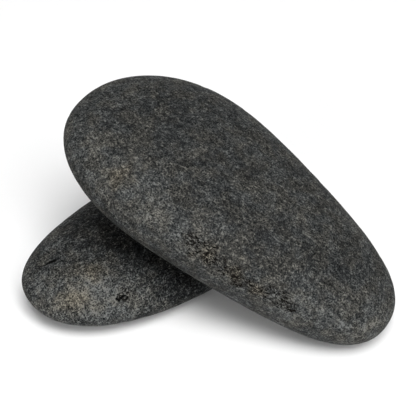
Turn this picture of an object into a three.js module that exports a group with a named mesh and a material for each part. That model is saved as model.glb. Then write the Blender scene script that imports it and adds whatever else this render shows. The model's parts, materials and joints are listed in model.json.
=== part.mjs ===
// A pair of basalt massage stones: a thick one lying across a thinner one.
//
// Millimetres, +Z up. The stones stand on z = 0, on the middle of their common footprint.
// Each stone is one solid pebble. Its own frame has +X along its length, +Y across its width
// and +Z through its thickness, with the origin inside the stone.

import * as THREE from "three";
import { mergeVertices } from "three/addons/utils/BufferGeometryUtils.js";

// ---------------------------------------------------------------- driving dimensions

// Steps along each edge of the cube that is rounded into a pebble.
const GRID_STEPS = 16;

// The stone underneath lies flat on the table.
const LOWER_STONE = {
  name: "lower_stone",
  color: 0x33353a,
  roughness: 0.82,
  halfLength: 68.8,
  halfWidth: 34.1,
  crownHeight: 12.6, // middle plane to the top
  bellyDepth: 12.1, // middle plane to the underside
  lengthwiseFullness: 2.2, // 2 gives an ellipse, more gives blunter ends
  crosswiseFullness: 2,
  widthTaper: 0.06, // share of the width gained from the middle to the +X end
  waist: 0.09, // share of the width gained at both ends and lost in the middle
  shoulder: -0.05, // share of the width moved from the middle of the +X half to that of the -X half
  thicknessTaper: -0.25, // share of the thickness gained from the middle to the +X end
  sideBend: 0.6, // how far both ends lean towards +Y
  sideSwing: -4.1, // how far the length swings to either side, as a slight S seen from above
  keelBend: -2, // how far both ends rise
  heading: 41.3, // degrees from the table's +X to the stone's +X, seen from above
  pitch: -0.9, // degrees that the +X end is raised
  roll: 8, // degrees that the +Y side is raised
  place: [-12.3, 5], // the stone's own origin on the table
  wornDepth: 0.8, // how much is worn off where the stone rests
};

// The stone on top rests its narrow end on the table and its blunt +X end in the air.
const UPPER_STONE = {
  name: "upper_stone",
  color: 0x3a3c3d,
  roughness: 0.8,
  halfLength: 70,
  halfWidth: 34.8,
  crownHeight: 16.2,
  bellyDepth: 23,
  lengthwiseFullness: 2.17,
  crosswiseFullness: 2.2,
  widthTaper: 0.15,
  waist: 0.11,
  shoulder: -0.22,
  thicknessTaper: -0.15,
  sideBend: 0.8,
  sideSwing: 2.8,
  keelBend: -4,
  heading: 152.2,
  pitch: 24.6,
  roll: -9,
  place: [9.5, -18.8],
  wornDepth: 0.3,
};

// ---------------------------------------------------------------- pebble shape

// The half thickness in a direction: it changes smoothly from the belly's to the crown's.
function halfThickness(direction, stone) {
  const mean = (stone.crownHeight + stone.bellyDepth) / 2;
  const difference = (stone.crownHeight - stone.bellyDepth) / 2;
  return mean + difference * Math.sin((direction.z * Math.PI) / 2);
}

// A unit direction becomes a point on the round form that the pebble is bent and tapered from.
// Its lengthwise and crosswise sections are superellipses.
function roundForm(direction, stone) {
  const { lengthwiseFullness: along, crosswiseFullness: across } = stone;
  const section = Math.abs(direction.y) ** across + Math.abs(direction.z) ** across;
  const size = Math.abs(direction.x) ** along + section ** (along / across);
  return new THREE.Vector3(stone.halfLength, stone.halfWidth, halfThickness(direction, stone))
    .multiply(direction)
    .multiplyScalar(size ** (-1 / along));
}

// The round form becomes the pebble: one end wider than the other, and the whole slightly bent.
// "even" changes the two ends alike, and "odd" changes the two halves in opposite ways.
function taperAndBend(point, stone) {
  const s = point.x / stone.halfLength;
  const even = s * s - 1 / 3;
  const odd = s ** 3 - s;
  point.y *= 1 + stone.widthTaper * s + stone.waist * even + stone.shoulder * odd;
  point.z *= 1 + stone.thicknessTaper * s;
  point.y += stone.sideBend * even + stone.sideSwing * odd;
  point.z += stone.keelBend * even;
  return point;
}

// A closed grid of unit directions, with steps of nearly equal angle.
function directionGrid(steps) {
  const cube = new THREE.BoxGeometry(2, 2, 2, steps, steps, steps);
  cube.deleteAttribute("normal");
  cube.deleteAttribute("uv");
  const grid = mergeVertices(cube);
  const places = grid.getAttribute("position");
  const quarterTurn = Math.PI / 4;
  for (let i = 0; i < places.count; i++) {
    const corner = new THREE.Vector3().fromBufferAttribute(places, i);
    const evened = corner.toArray().map((value) => Math.tan(value * quarterTurn));
    const direction = new THREE.Vector3(...evened).normalize();
    places.setXYZ(i, ...direction);
  }
  return grid;
}

// Moves every vertex of a geometry to the place that a function gives for it.
function moveVertices(geometry, move) {
  const places = geometry.getAttribute("position");
  for (let i = 0; i < places.count; i++) {
    const moved = move(new THREE.Vector3().fromBufferAttribute(places, i));
    places.setXYZ(i, ...moved);
  }
}

// How far a geometry reaches along a unit direction.
function reachAlong(geometry, direction) {
  const places = geometry.getAttribute("position");
  let reach = -Infinity;
  for (let i = 0; i < places.count; i++) {
    const point = new THREE.Vector3().fromBufferAttribute(places, i);
    reach = Math.max(reach, point.dot(direction));
  }
  return reach;
}

// ---------------------------------------------------------------- stones as they lie

// How the stone is turned: heading about the vertical, then pitch, then roll about its length.
function turnOf(stone) {
  const roll = THREE.MathUtils.degToRad(stone.roll);
  const pitch = THREE.MathUtils.degToRad(-stone.pitch);
  const heading = THREE.MathUtils.degToRad(stone.heading);
  return new THREE.Euler(roll, pitch, heading, "ZYX");
}

// Wears a small flat into the underside, level with the table, and returns the stone's height.
function wearFlat(geometry, stone) {
  const unturned = new THREE.Quaternion().setFromEuler(turnOf(stone)).invert();
  const down = new THREE.Vector3(0, 0, -1).applyQuaternion(unturned);
  const height = reachAlong(geometry, down) - stone.wornDepth;
  moveVertices(geometry, (point) => {
    const below = point.dot(down) - height;
    return below > 0 ? point.addScaledVector(down, -below) : point;
  });
  return height;
}

function makeStone(stone) {
  const geometry = directionGrid(GRID_STEPS);
  moveVertices(geometry, (direction) => taperAndBend(roundForm(direction, stone), stone));
  const height = wearFlat(geometry, stone);
  geometry.computeVertexNormals();
  const material = new THREE.MeshStandardMaterial({
    color: stone.color,
    roughness: stone.roughness,
    metalness: 0,
  });
  const mesh = new THREE.Mesh(geometry, material);
  mesh.name = stone.name;
  mesh.rotation.copy(turnOf(stone));
  mesh.position.set(...stone.place, height);
  return mesh;
}

// Sets the pair down with the middle of its footprint at the origin.
function centreOnFootprint(pair) {
  const footprint = new THREE.Box3().setFromObject(pair, true);
  const middle = footprint.getCenter(new THREE.Vector3());
  for (const stone of pair.children) {
    stone.position.x -= middle.x;
    stone.position.y -= middle.y;
  }
}

const pair = new THREE.Group();
pair.add(makeStone(LOWER_STONE), makeStone(UPPER_STONE));
centreOnFootprint(pair);

export default pair;
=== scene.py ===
"""Looks for a pair of basalt massage stones, one lying across the other.

Each CAD pebble is replaced by a fine mesh of the same form, with the soft faces, pits and cracks of
a river-worn stone, and with a procedural basalt made of mineral grains at their real size.
All lengths are in metres. Places on a stone are in its own frame, written in millimetres: X along
its length, Y across its width and Z through its thickness, from the middle of its box.
"""

import json
import math

import bmesh
import bpy
import numpy as np
from mathutils import Euler, Matrix, Vector, noise
from mathutils.bvhtree import BVHTree


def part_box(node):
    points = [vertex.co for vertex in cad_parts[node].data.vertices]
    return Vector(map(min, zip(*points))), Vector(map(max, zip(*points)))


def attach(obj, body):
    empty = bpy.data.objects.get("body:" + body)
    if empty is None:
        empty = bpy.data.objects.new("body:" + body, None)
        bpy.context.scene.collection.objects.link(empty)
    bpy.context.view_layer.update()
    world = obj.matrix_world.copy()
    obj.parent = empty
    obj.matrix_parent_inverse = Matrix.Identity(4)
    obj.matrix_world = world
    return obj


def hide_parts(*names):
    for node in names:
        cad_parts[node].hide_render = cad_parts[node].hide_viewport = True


MM = 0.001

# ---------------------------------------------------------------- driving dimensions

CAMERA_LENS_MM = 100
CAMERA_ELEVATION = 36  # degrees above the table
CAMERA_DISTANCE = 0.446
CAMERA_TARGET = Vector((0.0006, -0.0004, 0.0250))

# Soft lights all round: (name, azimuth from the camera's side, elevation, power).
LIGHTS = [
    ("front", 12, 64, 53),
    ("right", 35, 42, 21),
    ("low_left", -30, 15, 23),
    ("top", 0, 89, 6),
    ("back", 170, 12, 7),
]
LIGHT_DISTANCE = 2.5
LIGHT_SIZE = 1.25

FLOOR_RADIUS = 4.0
SWEEP_START = 0.25  # distance from the stones where the table starts to turn into the sweep
SWEEP_END = 0.9
OVERHEAD_STRENGTH = 0.08  # of the studio's light, which is 1 at the horizon

# The surface of both stones.
SUBDIVISIONS = 3
UNEVENNESS = [(30 * MM, 0.22 * MM), (11 * MM, 0.10 * MM), (4 * MM, 0.03 * MM)]  # (wavelength, height)
FACE_SOFTNESS = 0.25 * MM  # how gradually a worn face runs into the round surface
SMOOTH_FOOT = 1.5 * MM  # height above the table over which the relief fades out
CRACK_DEPTH = 0.35 * MM
PIECE_LENGTH = 2.5 * MM  # of the straight pieces that a line on a stone is cut into

# Pits: the least and greatest radius in millimetres, and depth as a share of the radius.
PIT_RADII = (0.6, 1.5)
PIT_DEPTHS = (0.10, 0.22)
ROUGH_PIT_RADII = (0.45, 0.9)
ROUGH_PIT_DEPTHS = (0.25, 0.5)

# The minerals' colours, before the grain's lightness, and the near-black painted shade of the grooves
# and cracks.
BLUE_GREY = (0.0240, 0.0261, 0.0269, 1.0)
OLIVE_GREY = (0.0285, 0.0278, 0.0248, 1.0)
TAN = (0.042, 0.0375, 0.0290, 1.0)
# Near-black painted shade in the grooves of the rough zones.
GROOVE_PAINTED_SHADE = (0.0035, 0.0028, 0.0022, 1.0)
# Near-black painted shade inside the cracks.
CRACK_PAINTED_SHADE = (0.001, 0.001, 0.001, 1.0)

# The grain's lightness, which is a logarithm until it is painted.
GROUNDMASS_LIGHT = -4.70
BRIGHTEST_LIGHT = 1.5

LOWER = {
    "node": "lower_stone",
    "piece": "lower_basalt",
    "slot": "lower_basalt",
    "turn": (41.3, -0.9, 8.0),  # heading, pitch and roll in degrees
    "seed": 7,
    "lightness": -0.08,  # of the whole stone, as a logarithm
    "contrast": 1.15,  # of the grain
    # Soft worn faces: (middle, depth).
    "faces": [((-45, 3, 10), 0.2), ((-53, -20, 5), 0.4), ((24, 10, 10), 0.4), ((6, -21, -4), 0.4)],
    "scattered_pits": 70,
    # Rough, pitted zones: (middle, radius, pits).
    "pitted": [((-45, -23, 6), 2.5, 6), ((15, 24, 0), 7, 18)],
    # Cracks: (start, end, width, how black the painted shade in it is).
    "cracks": [
        ((-62.4, 7.2, 4.4), (-59.8, 5.8, 5.9), 0.35, 0.7),
        ((-59.8, 5.8, 5.9), (-58.0, 5.3, 6.7), 0.6, 1.0),
        ((-58.0, 5.3, 6.7), (-56.1, 4.5, 7.5), 1.0, 1.0),
        ((-48.2, -22.6, 5.1), (-47.7, -23.2, 4.8), 0.70, 1.0),
        ((-47.7, -23.2, 4.8), (-46.5, -23.3, 5.2), 0.90, 1.0),
        ((-46.5, -23.3, 5.2), (-45.7, -23.2, 5.5), 0.85, 1.0),
        ((-45.4, -24.3, 4.8), (-44.7, -24.0, 5.2), 0.45, 0.9),
    ],
    # Light scratches and thin veins: (start, end, width, strength).
    "streaks": [((-31.1, 14.6, 9.6), (-29.9, 13.6, 10.1), 0.45, 1.5)],
    # Patches where a tan mineral shows: (middle, radius).
    "tan": [((-49.6, -9.3, 9.1), 4), ((-60.7, -12.6, 4.5), 5), ((31, -3, 9), 6)],
    # Lighter and darker patches: (middle, radius, how much lighter). They are partly the stone's own
    # tone and partly painted light and shade: the front lighter and the top darker. The darkest are a
    # painted shadow under the upper stone.
    "tone_and_painted_light": [
        ((-55, -16, 6), 12, 0.55),
        ((-62, -15, 3), 6, 0.30),
        ((-51, -13, 8), 4, 0.30),
        ((-64, -1, 5), 8, 0.20),
        ((-46, -22, 6), 6, 0.40),
        ((-52, 11, 7), 8, 0.20),
        ((-56, -5, 8), 5, -0.25),
        # Painted shadow: darker where the upper stone overhangs the lower one.
        ((-44, 0, 10), 12, -0.40),
        ((-33, 8, 11), 11, -0.28),
        ((-30, -11, 11), 11, -0.38),
        ((-23, -27, 7), 10, -0.60),
        ((-20, -32, 3), 4, -0.60),
        ((-51, -24, 2), 6, 0.35),
        ((16, 8, 11), 16, 0.25),
        ((39, -4, 8), 12, -0.20),
    ],
}

UPPER = {
    "node": "upper_stone",
    "piece": "upper_basalt",
    "slot": "upper_basalt",
    "turn": (152.2, 24.6, -9.0),
    "seed": 3,
    "lightness": 0.0,
    "contrast": 0.88,
    "faces": [
        ((30, 31, 13), 0.6),
        ((-52, 20, 11), 0.7),
        ((-8, 4, 22), 0.4),
        ((44, -4, 15), 0.3),
        ((20, -25, -12), 0.5),
        ((-30, -20, -6), 0.5),
    ],
    "scattered_pits": 110,
    "pitted": [
        ((1, 32.2, 14.5), 3.5, 10),
        ((-4, 32.3, 13.7), 4.0, 12),
        ((-9, 32.0, 13.0), 3.0, 8),
        ((-14, 31.9, 12.2), 3.2, 8),
        ((-19, 31.3, 11.6), 3.8, 12),
        ((-24, 30.4, 11.4), 2.8, 8),
        ((-30, 28.9, 11.3), 3.5, 10),
        ((-35, 27.8, 11.2), 4.0, 12),
        ((-40, 26.7, 10.7), 2.6, 5),
        ((10, -28, -9), 7, 16),
        ((18, -27, -10), 6, 14),
    ],
    "cracks": [],
    "streaks": [
        ((-20.9, 31.7, 8.3), (-26.6, 30.6, 7.5), 0.35, 1.0),
        ((48.9, 17.3, 13.8), (48.4, 10.3, 14.9), 0.60, 0.7),
        ((28.6, 16.7, 18.5), (22.6, 13.3, 19.9), 0.60, 1.0),
        ((22.6, 13.3, 19.9), (16.0, 11.8, 20.8), 0.50, 0.9),
        ((11.0, 17.8, 20.4), (7.6, 16.0, 20.9), 0.70, 0.9),
    ],
    "tan": [((-18, 31, 12), 3.0), ((-26, 30, 11), 2.5), ((36, 28, 14), 4), ((-6, 32, 13), 3)],
    # Lighter and darker patches, partly the stone's own tone and partly painted light and shade: the
    # front flank lighter and the top darker.
    "tone_and_painted_light": [
        ((-42, 25, 12), 7, 0.40),
        ((-54, 18, 13), 9, 0.35),
        ((-67, 9, 8), 9, 0.65),
        ((-38, 17, 18), 9, -0.35),
        ((-47, 7, 19), 9, -0.35),
        ((-18, 16, 21), 12, -0.30),
        ((20, 35, 12), 5, 0.45),
        ((12, 35, 10), 6, 0.35),
        ((0, 33, 13), 7, 0.35),
        ((-11, 31, 13), 6, 0.25),
        ((-18, 31, 12), 6, 0.35),
        ((-32, 28, 11), 8, 0.35),
        ((41, 24, 14), 11, 0.30),
        ((60, 19, 8), 6, 0.35),
        ((49, 17, 13), 6, 0.25),
        ((24, 27, 17), 6, 0.30),
        ((2, 32, 15), 4, 0.30),
        ((-39, 27, 8), 6, 0.30),
        ((-30, 30, 6), 5, 0.20),
        ((-64, 17, 4), 6, 0.25),
        ((52, 28, 7), 5, 0.20),
        ((3, -23, 18), 8, -0.20),
        ((50, 3, 14), 8, -0.30),
        ((33, -6, 19), 14, -0.35),
        ((17, -14, 20), 4, 0.45),
        ((14, 3, 21), 13, -0.20),
        ((20, -30, -5), 16, 0.25),
        ((-40, -25, -2), 14, 0.25),
        ((-10, -20, -15), 16, -0.25),
        ((60, -8, 2), 10, 0.20),
        # Painted shade along the lower edge, where the surface faces down.
        ((2, 33, -3), 11, -0.45),
        ((27, 36, 0), 12, -0.35),
        ((50, 29, 0), 10, -0.35),
        ((58, 17, 10), 2.5, -0.35),
        ((42, 22, 15), 2.2, -0.50),
    ],
}

# ---------------------------------------------------------------- geometry


def stone_matrix(stone):
    """Where the stone's own frame is: turned with the stone, in the middle of its box."""
    heading, pitch, roll = (math.radians(angle) for angle in stone["turn"])
    turn = Euler((roll, -pitch, heading), "XYZ").to_matrix().to_4x4()
    low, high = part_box(stone["node"])
    return Matrix.Translation((low + high) / 2) @ turn


def quad_copy(stone, place):
    """The CAD pebble's mesh in the stone's own frame, welded and nearly all turned back into quads."""
    mesh = frame["nodes"][stone["node"]].data.copy()
    mesh.name = stone["piece"]
    mesh.materials.clear()
    mesh.transform(place.inverted())
    body = bmesh.new()
    body.from_mesh(mesh)
    bmesh.ops.remove_doubles(body, verts=body.verts, dist=0.01 * MM)
    limits = {"angle_face_threshold": math.radians(40), "angle_shape_threshold": math.radians(60)}
    bmesh.ops.join_triangles(body, faces=body.faces, **limits)
    bmesh.ops.recalc_face_normals(body, faces=body.faces)
    body.to_mesh(mesh)
    body.free()
    return mesh


def vertex_array(mesh, what="co"):
    """The vertices' places, or their normals, as rows of three numbers."""
    values = np.empty(len(mesh.vertices) * 3, np.float32)
    mesh.vertices.foreach_get(what, values)
    return values.reshape(-1, 3).astype(float)


def set_vertices(mesh, places):
    mesh.vertices.foreach_set("co", places.astype(np.float32).ravel())
    mesh.update()


def smooth_mesh(obj, levels):
    """The object's mesh after subdivision."""
    modifier = obj.modifiers.new("fine", "SUBSURF")
    modifier.levels = levels
    modifier.render_levels = levels
    shaped = obj.evaluated_get(bpy.context.evaluated_depsgraph_get())
    fine = bpy.data.meshes.new_from_object(shaped)
    obj.modifiers.remove(modifier)
    return fine


def subdivide(obj):
    """Subdivides the object's mesh smoothly, without the shrinking that this causes by itself."""
    coarse = obj.data
    wanted = vertex_array(coarse)
    shrunk = vertex_array(smooth_mesh(obj, 1))[: len(wanted)]
    set_vertices(coarse, 2 * wanted - shrunk)
    fine = smooth_mesh(obj, SUBDIVISIONS)
    fine.name = coarse.name
    obj.data = fine
    bpy.data.meshes.remove(coarse)


def noise_at(places, size, seed):
    """Smooth noise from about -1 to 1, with blobs of the given size."""
    offset = Vector((seed * 17.3, seed * 5.9, seed * 11.1))
    return np.array([noise.noise(Vector(place) / size + offset) for place in places])


def uneven(places, seed):
    """How far each place is lowered by the soft unevenness of a worn pebble."""
    drop = np.zeros(len(places))
    for layer, (size, height) in enumerate(UNEVENNESS):
        drop += height * (0.3 + noise_at(places, size, seed + layer))
    return drop


def distance_to_point(places, point):
    """Distance from each place to a point given in millimetres."""
    return np.linalg.norm(places - np.array(point) * MM, axis=1)


def nearest_spot(places, normals, middle):
    """The place on the surface nearest to a point given in millimetres, and its normal."""
    nearest = np.argmin(distance_to_point(places, middle))
    return places[nearest], normals[nearest]


def press_faces(places, normals, faces):
    """Presses soft flat faces into the surface: what stands above the face's plane goes down to it."""
    for middle, depth in faces:
        spot, outward = nearest_spot(places, normals, middle)
        above = (places - spot) @ outward + depth * MM
        press = FACE_SOFTNESS * np.logaddexp(0, above / FACE_SOFTNESS)
        places = places - outward * press[:, None]
    return places


def pit(places, centre, radii, depths, chance):
    """How far a round pit of a random size lowers each place."""
    radius = chance.uniform(*radii) * MM
    depth = chance.uniform(*depths) * radius
    distance = np.linalg.norm(places - centre, axis=1) / radius
    return depth * np.exp(-(distance**2))


def scattered(places, count, chance):
    """Places on the surface picked by the given random source."""
    return places[chance.integers(0, len(places), count)]


def dig_pits(places, stone, chance):
    """How far the pits lower each place: single ones anywhere, and many in the rough zones."""
    drop = np.zeros(len(places))
    for centre in scattered(places, stone["scattered_pits"], chance):
        drop += pit(places, centre, PIT_RADII, PIT_DEPTHS, chance)
    for middle, reach, count in stone["pitted"]:
        zone = places[distance_to_point(places, middle) < reach * MM]
        for centre in scattered(zone, count, chance):
            drop += pit(places, centre, ROUGH_PIT_RADII, ROUGH_PIT_DEPTHS, chance)
    return drop


def distance_to_line(places, start, end):
    """Distance from each place to a straight line between two points given in millimetres."""
    start = np.array(start) * MM
    along = np.array(end) * MM - start
    share = np.clip((places - start) @ along / (along @ along), 0, 1)
    return np.linalg.norm(places - start - share[:, None] * along, axis=1)


def open_cracks(places, cracks):
    """How far narrow cracks lower each place."""
    drop = np.zeros(len(places))
    for start, end, width, _ in cracks:
        distance = distance_to_line(places, start, end) / (width * MM)
        drop = np.maximum(drop, CRACK_DEPTH * np.exp(-(distance**2)))
    return drop


def lay_on_surface(lines, mesh):
    """The given lines laid on the surface, cut into pieces short enough to follow it."""
    body = bmesh.new()
    body.from_mesh(mesh)
    surface = BVHTree.FromBMesh(body)
    body.free()
    pieces = []
    for start, end, width, strength in lines:
        start = Vector(start) * MM
        end = Vector(end) * MM
        count = math.ceil((end - start).length / PIECE_LENGTH)
        ends = [surface.find_nearest(start.lerp(end, step / count))[0] for step in range(count + 1)]
        pieces += [(*pair, width * MM, strength) for pair in zip(ends, ends[1:])]
    return pieces


def heights(places, place):
    """How high above the table each place is."""
    return places @ np.array(place.to_3x3())[2] + place.translation.z


def keep_resting_face(places, place, drop):
    """Fades the relief out at the table, where the stone is worn flat."""
    return drop * np.clip(heights(places, place) / SMOOTH_FOOT, 0, 1)


def keep_above_table(places, place):
    """Lifts what has come out below the table onto it."""
    up = np.array(place.to_3x3())[2]
    return places - np.minimum(heights(places, place), 0)[:, None] * up


def paint(mesh, name, values):
    """Stores one number for each vertex, for the material to read."""
    layer = mesh.attributes.new(name, "FLOAT", "POINT")
    layer.data.foreach_set("value", values.astype(np.float32))


def patches(places, spots, seed):
    """A mask that is 1 inside each (middle, radius, ...) spot, with a ragged edge."""
    ragged = 1 + 0.7 * noise_at(places, 3 * MM, seed)
    mask = np.zeros(len(places))
    for middle, radius, *_ in spots:
        distance = distance_to_point(places, middle) / (radius * MM)
        mask = np.maximum(mask, np.exp(-((distance * ragged) ** 2)))
    return mask


def shading(places, stone):
    """How much lighter or darker the stone is at each place, as the logarithm of its lightness: its own
    tone together with painted light and shade.
    """
    shade = np.zeros(len(places))
    for middle, radius, lightness in stone["tone_and_painted_light"]:
        shade += lightness * patches(places, [(middle, radius)], stone["seed"])
    return shade


def wear(mesh, stone, place):
    """Wears the smooth pebble down: soft faces, unevenness, pits and cracks."""
    chance = np.random.default_rng(stone["seed"])
    normals = vertex_array(mesh, "normal")
    places = vertex_array(mesh)
    pressed = press_faces(places, normals, stone["faces"])
    drop = uneven(places, stone["seed"])
    drop += dig_pits(places, stone, chance)
    drop += open_cracks(places, stone["cracks"])
    drop = keep_resting_face(places, place, drop)
    set_vertices(mesh, keep_above_table(pressed - normals * drop[:, None], place))


def frame_body(node):
    """The CAD body that holds a node."""
    bodies = frame["record"]["behaviour"]["bodies"]
    return next(body for body, nodes in bodies.items() if node in nodes)


def make_stone(stone):
    """The fine stone that replaces a CAD pebble."""
    place = stone_matrix(stone)
    obj = bpy.data.objects.new(stone["piece"], quad_copy(stone, place))
    bpy.context.scene.collection.objects.link(obj)
    subdivide(obj)

    mesh = obj.data
    places = vertex_array(mesh)
    wear(mesh, stone, place)
    paint(mesh, "pitted", patches(places, stone["pitted"], stone["seed"]))
    paint(mesh, "tan", patches(places, stone["tan"], stone["seed"]))
    # Stores the patches of the stone's own tone and of painted light and shade.
    paint(mesh, "shade", shading(places, stone))
    streaks = lay_on_surface(stone["streaks"], mesh)
    cracks = lay_on_surface(stone["cracks"], mesh)
    mesh.transform(place)
    mesh.shade_smooth()
    mesh.materials.append(basalt(stone, place, streaks, cracks))

    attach(obj, frame_body(stone["node"]))
    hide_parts(stone["node"])


# ---------------------------------------------------------------- materials


class Shader:
    """Short calls that add nodes to a material or world and link them."""

    def __init__(self, owner):
        owner.use_nodes = True
        self.owner = owner
        self.tree = owner.node_tree
        self.tree.nodes.clear()

    def add(self, kind, inputs, **settings):
        """Adds a node. A socket in inputs is linked, and any other value is set."""
        node = self.tree.nodes.new(kind)
        for name, value in settings.items():
            setattr(node, name, value)
        for socket, value in inputs.items():
            if isinstance(value, bpy.types.NodeSocket):
                self.tree.links.new(value, node.inputs[socket])
            else:
                node.inputs[socket].default_value = value
        return node

    def math(self, operation, first, second=0.0):
        inputs = {0: first, 1: second}
        return self.add("ShaderNodeMath", inputs, operation=operation).outputs[0]

    def vector(self, operation, first, second):
        inputs = {0: first, 1: second}
        return self.add("ShaderNodeVectorMath", inputs, operation=operation).outputs["Vector"]

    def noise(self, where, size, detail=0.0, roughness=0.5, distortion=0.0):
        inputs = {"Vector": where, "Scale": 1 / size, "Detail": detail, "Roughness": roughness}
        inputs["Distortion"] = distortion
        return self.add("ShaderNodeTexNoise", inputs).outputs["Fac"]

    def cloud(self, where, size):
        """Noise as a vector, with each part from about -0.5 to 0.5."""
        node = self.add("ShaderNodeTexNoise", {"Vector": where, "Scale": 1 / size, "Detail": 0.0})
        return self.vector("SUBTRACT", node.outputs["Color"], (0.5, 0.5, 0.5))

    def grains(self, where, size):
        """Voronoi grains: the distance from each grain's middle, and a random colour for each grain."""
        node = self.add("ShaderNodeTexVoronoi", {"Vector": where, "Scale": 1 / size})
        return node.outputs["Distance"], node.outputs["Color"]

    def step(self, value, low, high, to_low=0.0, to_high=1.0):
        """Goes smoothly from to_low to to_high while the value goes from low to high."""
        inputs = {"Value": value, "From Min": low, "From Max": high, "To Min": to_low, "To Max": to_high}
        return self.add("ShaderNodeMapRange", inputs, interpolation_type="SMOOTHSTEP").outputs["Result"]

    def mix(self, factor, first, second, blend="MIX"):
        inputs = {0: factor, 6: first, 7: second}
        node = self.add("ShaderNodeMix", inputs, data_type="RGBA", blend_type=blend)
        return node.outputs[2]

    def painted(self, name):
        return self.add("ShaderNodeAttribute", {}, attribute_name=name).outputs["Fac"]

    def length(self, vector):
        return self.add("ShaderNodeVectorMath", {0: vector}, operation="LENGTH").outputs["Value"]

    def line(self, where, start, end, width):
        """A mask that is 1 on a thin straight line between two points."""
        along = end - start
        offset = self.vector("SUBTRACT", where, tuple(start))
        dot = self.add("ShaderNodeVectorMath", {0: offset, 1: tuple(along)}, operation="DOT_PRODUCT")
        share = self.math("DIVIDE", dot.outputs["Value"], along.length_squared)
        clamped = self.add("ShaderNodeClamp", {0: share}).outputs[0]
        inputs = {0: tuple(along), "Scale": clamped}
        nearest = self.add("ShaderNodeVectorMath", inputs, operation="SCALE").outputs["Vector"]
        distance = self.length(self.vector("SUBTRACT", offset, nearest))
        return self.step(distance, 0.3 * width, width, 1.0, 0.0)

    def weighted_sum(self, start, parts):
        """The start value plus each part times its weight, from (part, weight) pairs."""
        total = start
        for part, weight in parts:
            inputs = {0: part, 1: weight, 2: total}
            total = self.add("ShaderNodeMath", inputs, operation="MULTIPLY_ADD").outputs[0]
        return total


def tone(value):
    """A grey colour."""
    return (value, value, value, 1.0)


def strands(shader, at, size, width, gaps=0.49):
    """Thin wavy strands, broken into short lengths. Higher gaps leave less of them."""
    wave = shader.noise(at, size, distortion=0.7)
    distance = shader.math("ABSOLUTE", shader.math("SUBTRACT", wave, 0.5))
    kept = shader.step(shader.noise(at, 0.9 * size), gaps - 0.07, gaps + 0.07)
    return shader.math("MULTIPLY", shader.step(distance, 0.3 * width, width, 1.0, 0.0), kept)


def specks(shader, at, size, share):
    """Round dark grains, one in each of the given share of the cells."""
    distance, tint = shader.grains(at, size)
    chosen = shader.math("LESS_THAN", shader.add("ShaderNodeSeparateColor", {0: tint}).outputs[0], share)
    return shader.math("MULTIPLY", shader.step(distance, 0.2, 0.5, 1.0, 0.0), chosen)


def line_mask(shader, at, lines):
    """Several thin lines with ragged edges, given as (start, end, width, strength)."""
    wobble = shader.vector("MULTIPLY", shader.cloud(at, 0.9 * MM), (0.5 * MM,) * 3)
    ragged = shader.vector("ADD", at, wobble)
    mask = 0.0
    for start, end, width, strength in lines:
        line = shader.math("MULTIPLY", shader.line(ragged, start, end, width), strength)
        mask = shader.math("MAXIMUM", mask, line)
    return mask


def own_coordinates(shader, place):
    """Places in the stone's own frame, so that the grain moves with the stone."""
    here = shader.add("ShaderNodeTexCoord", {}).outputs["Object"]
    inputs = {"Vector": here, "Location": place.translation, "Rotation": place.to_euler()}
    return shader.add("ShaderNodeMapping", inputs, vector_type="TEXTURE").outputs["Vector"]


def grain_light(shader, stone, shifted, bedded, fleck, fine):
    """The grain's lightness: soft clouds, several sizes of grain, light laths and dark grains, and the
    patches of tone and painted light and shade.
    """
    parts = [
        (shader.noise(shifted, 13 * MM, detail=1.0), 0.8),
        (shader.noise(shifted, 5 * MM, detail=1.0), 1.4),
        (fleck, 2.4),
        (fine, 4.8),
        (strands(shader, bedded, 1.5 * MM, 0.05), 1.10),
        (strands(shader, bedded, 1.0 * MM, 0.08), 0.90),
        (specks(shader, shifted, 0.8 * MM, 0.5), -1.20),
        # The patches of the stone's own tone and of painted light and shade.
        (shader.painted("shade"), 1.0),
    ]
    return shader.weighted_sum(GROUNDMASS_LIGHT + stone["lightness"], parts)


def with_contrast(shader, light, contrast):
    """The lightness with its contrast changed, and softly limited at the bright end."""
    inputs = {0: shader.math("MULTIPLY", light, contrast), 1: BRIGHTEST_LIGHT, 2: 0.5}
    return shader.add("ShaderNodeMath", inputs, operation="SMOOTH_MIN").outputs[0]


def grain_color(shader, shifted, light):
    """Bluish where it is dark and olive where it is light, with tan where another mineral shows."""
    clouds = shader.step(shader.noise(shifted, 7 * MM, detail=2.0, roughness=0.6), 0.36, 0.64)
    olive = shader.math("MULTIPLY", clouds, 0.6)
    olive = shader.math("ADD", olive, shader.step(light, -0.7, 0.9, 0.0, 0.4))
    base = shader.mix(olive, BLUE_GREY, OLIVE_GREY)
    base = shader.mix(shader.math("MULTIPLY", shader.painted("tan"), 0.75), base, TAN)
    value = shader.math("EXPONENT", light)
    grey = shader.add("ShaderNodeCombineColor", {0: value, 1: value, 2: value}).outputs[0]
    return shader.mix(1.0, base, grey, "MULTIPLY")


def rough_grooves(shader, bedded):
    """A mask of the grooves between the grains in the stone's rough zones: they are painted near-black
    as shade, made rougher and pressed down.
    """
    groove = strands(shader, bedded, 0.8 * MM, 0.15, gaps=0.45)
    fissure = strands(shader, bedded, 1.4 * MM, 0.09, gaps=0.47)
    zones = shader.step(shader.painted("pitted"), 0.2, 0.6)
    return shader.math("MULTIPLY", shader.math("MAXIMUM", groove, fissure), zones)


def fine_relief(shader, fleck, fine, grooves):
    """Relief finer than the mesh: the grains stand up a little, and the grooves go down."""
    relief = shader.math("ADD", shader.math("MULTIPLY", fleck, 0.5), shader.math("MULTIPLY", fine, 0.5))
    relief = shader.math("SUBTRACT", relief, shader.math("MULTIPLY", grooves, 1.5))
    inputs = {"Strength": 1.0, "Distance": 0.10 * MM, "Height": relief}
    return shader.add("ShaderNodeBump", inputs).outputs[0]


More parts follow.
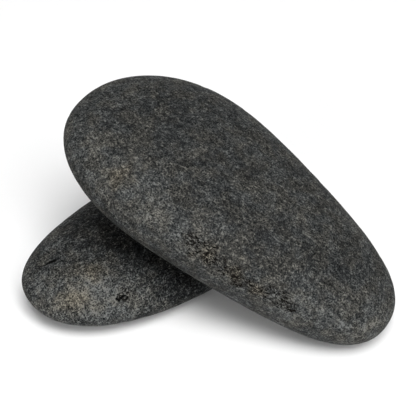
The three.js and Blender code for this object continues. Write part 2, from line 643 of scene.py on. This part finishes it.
def basalt(stone, place, streaks, cracks):
    """Basalt: a near-black groundmass full of small light laths and dark grains."""
    shader = Shader(bpy.data.materials.new(stone["piece"]))
    at = own_coordinates(shader, place)
    # The shift gives each stone its own grain, and the stretch lays the grains along the stone.
    shifted = shader.vector("ADD", at, (stone["seed"] * 0.37, stone["seed"] * 0.11, 0.0))
    bedded = shader.vector("MULTIPLY", shifted, (0.7, 1.1, 1.1))
    fleck = shader.noise(shifted, 1.7 * MM, detail=1.0, roughness=0.7, distortion=0.4)
    fine = shader.noise(shifted, 0.6 * MM, detail=1.0, roughness=0.8)
    light = grain_light(shader, stone, shifted, bedded, fleck, fine)
    light = shader.weighted_sum(light, [(line_mask(shader, at, streaks), 0.9)])
    light = with_contrast(shader, light, stone["contrast"])

    grooves = rough_grooves(shader, bedded)
    # The grooves painted near-black: painted shade in these recesses.
    color = shader.mix(grooves, grain_color(shader, shifted, light), GROOVE_PAINTED_SHADE)
    if cracks:
        # The cracks painted near-black: painted shade in them.
        color = shader.mix(line_mask(shader, at, cracks), color, CRACK_PAINTED_SHADE)
    gloss = shader.step(fleck, 0.3, 0.7, 0.74, 0.60)
    inputs = {
        "Base Color": color,
        "Roughness": shader.math("ADD", gloss, shader.math("MULTIPLY", grooves, 0.2)),
        "Normal": fine_relief(shader, fleck, fine, grooves),
        "Specular IOR Level": 0.05,
    }
    surface = shader.add("ShaderNodeBsdfPrincipled", inputs)
    shader.add("ShaderNodeOutputMaterial", {"Surface": surface.outputs[0]})
    return shader.owner


def white_sweep():
    """The pale table, which runs into a white studio sweep far from the stones."""
    shader = Shader(bpy.data.materials.new("white_sweep"))
    place = shader.add("ShaderNodeTexCoord", {}).outputs["Object"]
    distance = shader.length(place)
    table = shader.add("ShaderNodeBsdfPrincipled", {"Base Color": tone(0.9), "Roughness": 0.9})
    sweep = shader.add("ShaderNodeEmission", {"Color": tone(1.0)})
    inputs = {0: shader.step(distance, SWEEP_START, SWEEP_END), 1: table.outputs[0], 2: sweep.outputs[0]}
    surface = shader.add("ShaderNodeMixShader", inputs)
    shader.add("ShaderNodeOutputMaterial", {"Surface": surface.outputs[0]})
    return shader.owner


# ---------------------------------------------------------------- stage


def make_floor():
    bpy.ops.mesh.primitive_circle_add(vertices=96, radius=FLOOR_RADIUS, fill_type="NGON")
    floor = bpy.context.object
    floor.name = "floor"
    floor.data.materials.append(white_sweep())


def make_world():
    """A pale studio: white at the horizon and dim overhead."""
    shader = Shader(bpy.data.worlds.new("studio"))
    direction = shader.add("ShaderNodeTexCoord", {}).outputs["Generated"]
    rise = shader.add("ShaderNodeSeparateXYZ", {0: direction}).outputs["Z"]
    strength = shader.step(rise, 0.1, 0.4, 1.0, OVERHEAD_STRENGTH)
    background = shader.add("ShaderNodeBackground", {"Color": tone(1.0), "Strength": strength})
    shader.add("ShaderNodeOutputWorld", {"Surface": background.outputs[0]})
    bpy.context.scene.world = shader.owner


def make_softbox(name, azimuth, elevation, power):
    """A soft square light aimed at the stones."""
    turn = math.radians(azimuth)
    rise = math.radians(elevation)
    towards = Vector((math.sin(turn) * math.cos(rise), -math.cos(turn) * math.cos(rise), math.sin(rise)))
    lamp = bpy.data.lights.new(name, "AREA")
    lamp.size = LIGHT_SIZE
    lamp.energy = power
    obj = bpy.data.objects.new(name, lamp)
    obj.location = CAMERA_TARGET + towards * LIGHT_DISTANCE
    obj.rotation_euler = towards.to_track_quat("Z", "Y").to_euler()
    bpy.context.scene.collection.objects.link(obj)


def make_camera():
    rise = math.radians(CAMERA_ELEVATION)
    towards = Vector((0, -math.cos(rise), math.sin(rise)))
    lens = bpy.data.cameras.new("camera")
    lens.lens = CAMERA_LENS_MM
    camera = bpy.data.objects.new("camera", lens)
    camera.location = CAMERA_TARGET + towards * CAMERA_DISTANCE
    camera.rotation_euler = towards.to_track_quat("Z", "Y").to_euler()
    bpy.context.scene.collection.objects.link(camera)
    bpy.context.scene.camera = camera


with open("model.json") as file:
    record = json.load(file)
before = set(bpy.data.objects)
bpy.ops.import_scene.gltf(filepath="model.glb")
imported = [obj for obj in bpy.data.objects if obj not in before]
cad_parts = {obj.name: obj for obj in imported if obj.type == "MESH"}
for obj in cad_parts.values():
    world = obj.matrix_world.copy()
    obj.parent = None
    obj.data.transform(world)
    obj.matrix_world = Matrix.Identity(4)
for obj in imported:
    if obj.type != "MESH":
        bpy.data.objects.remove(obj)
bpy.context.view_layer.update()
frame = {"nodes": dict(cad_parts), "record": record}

make_camera()
make_stone(LOWER)
make_stone(UPPER)
make_floor()
make_world()
for light in LIGHTS:
    make_softbox(*light)
bpy.context.scene.view_settings.view_transform = "Standard"
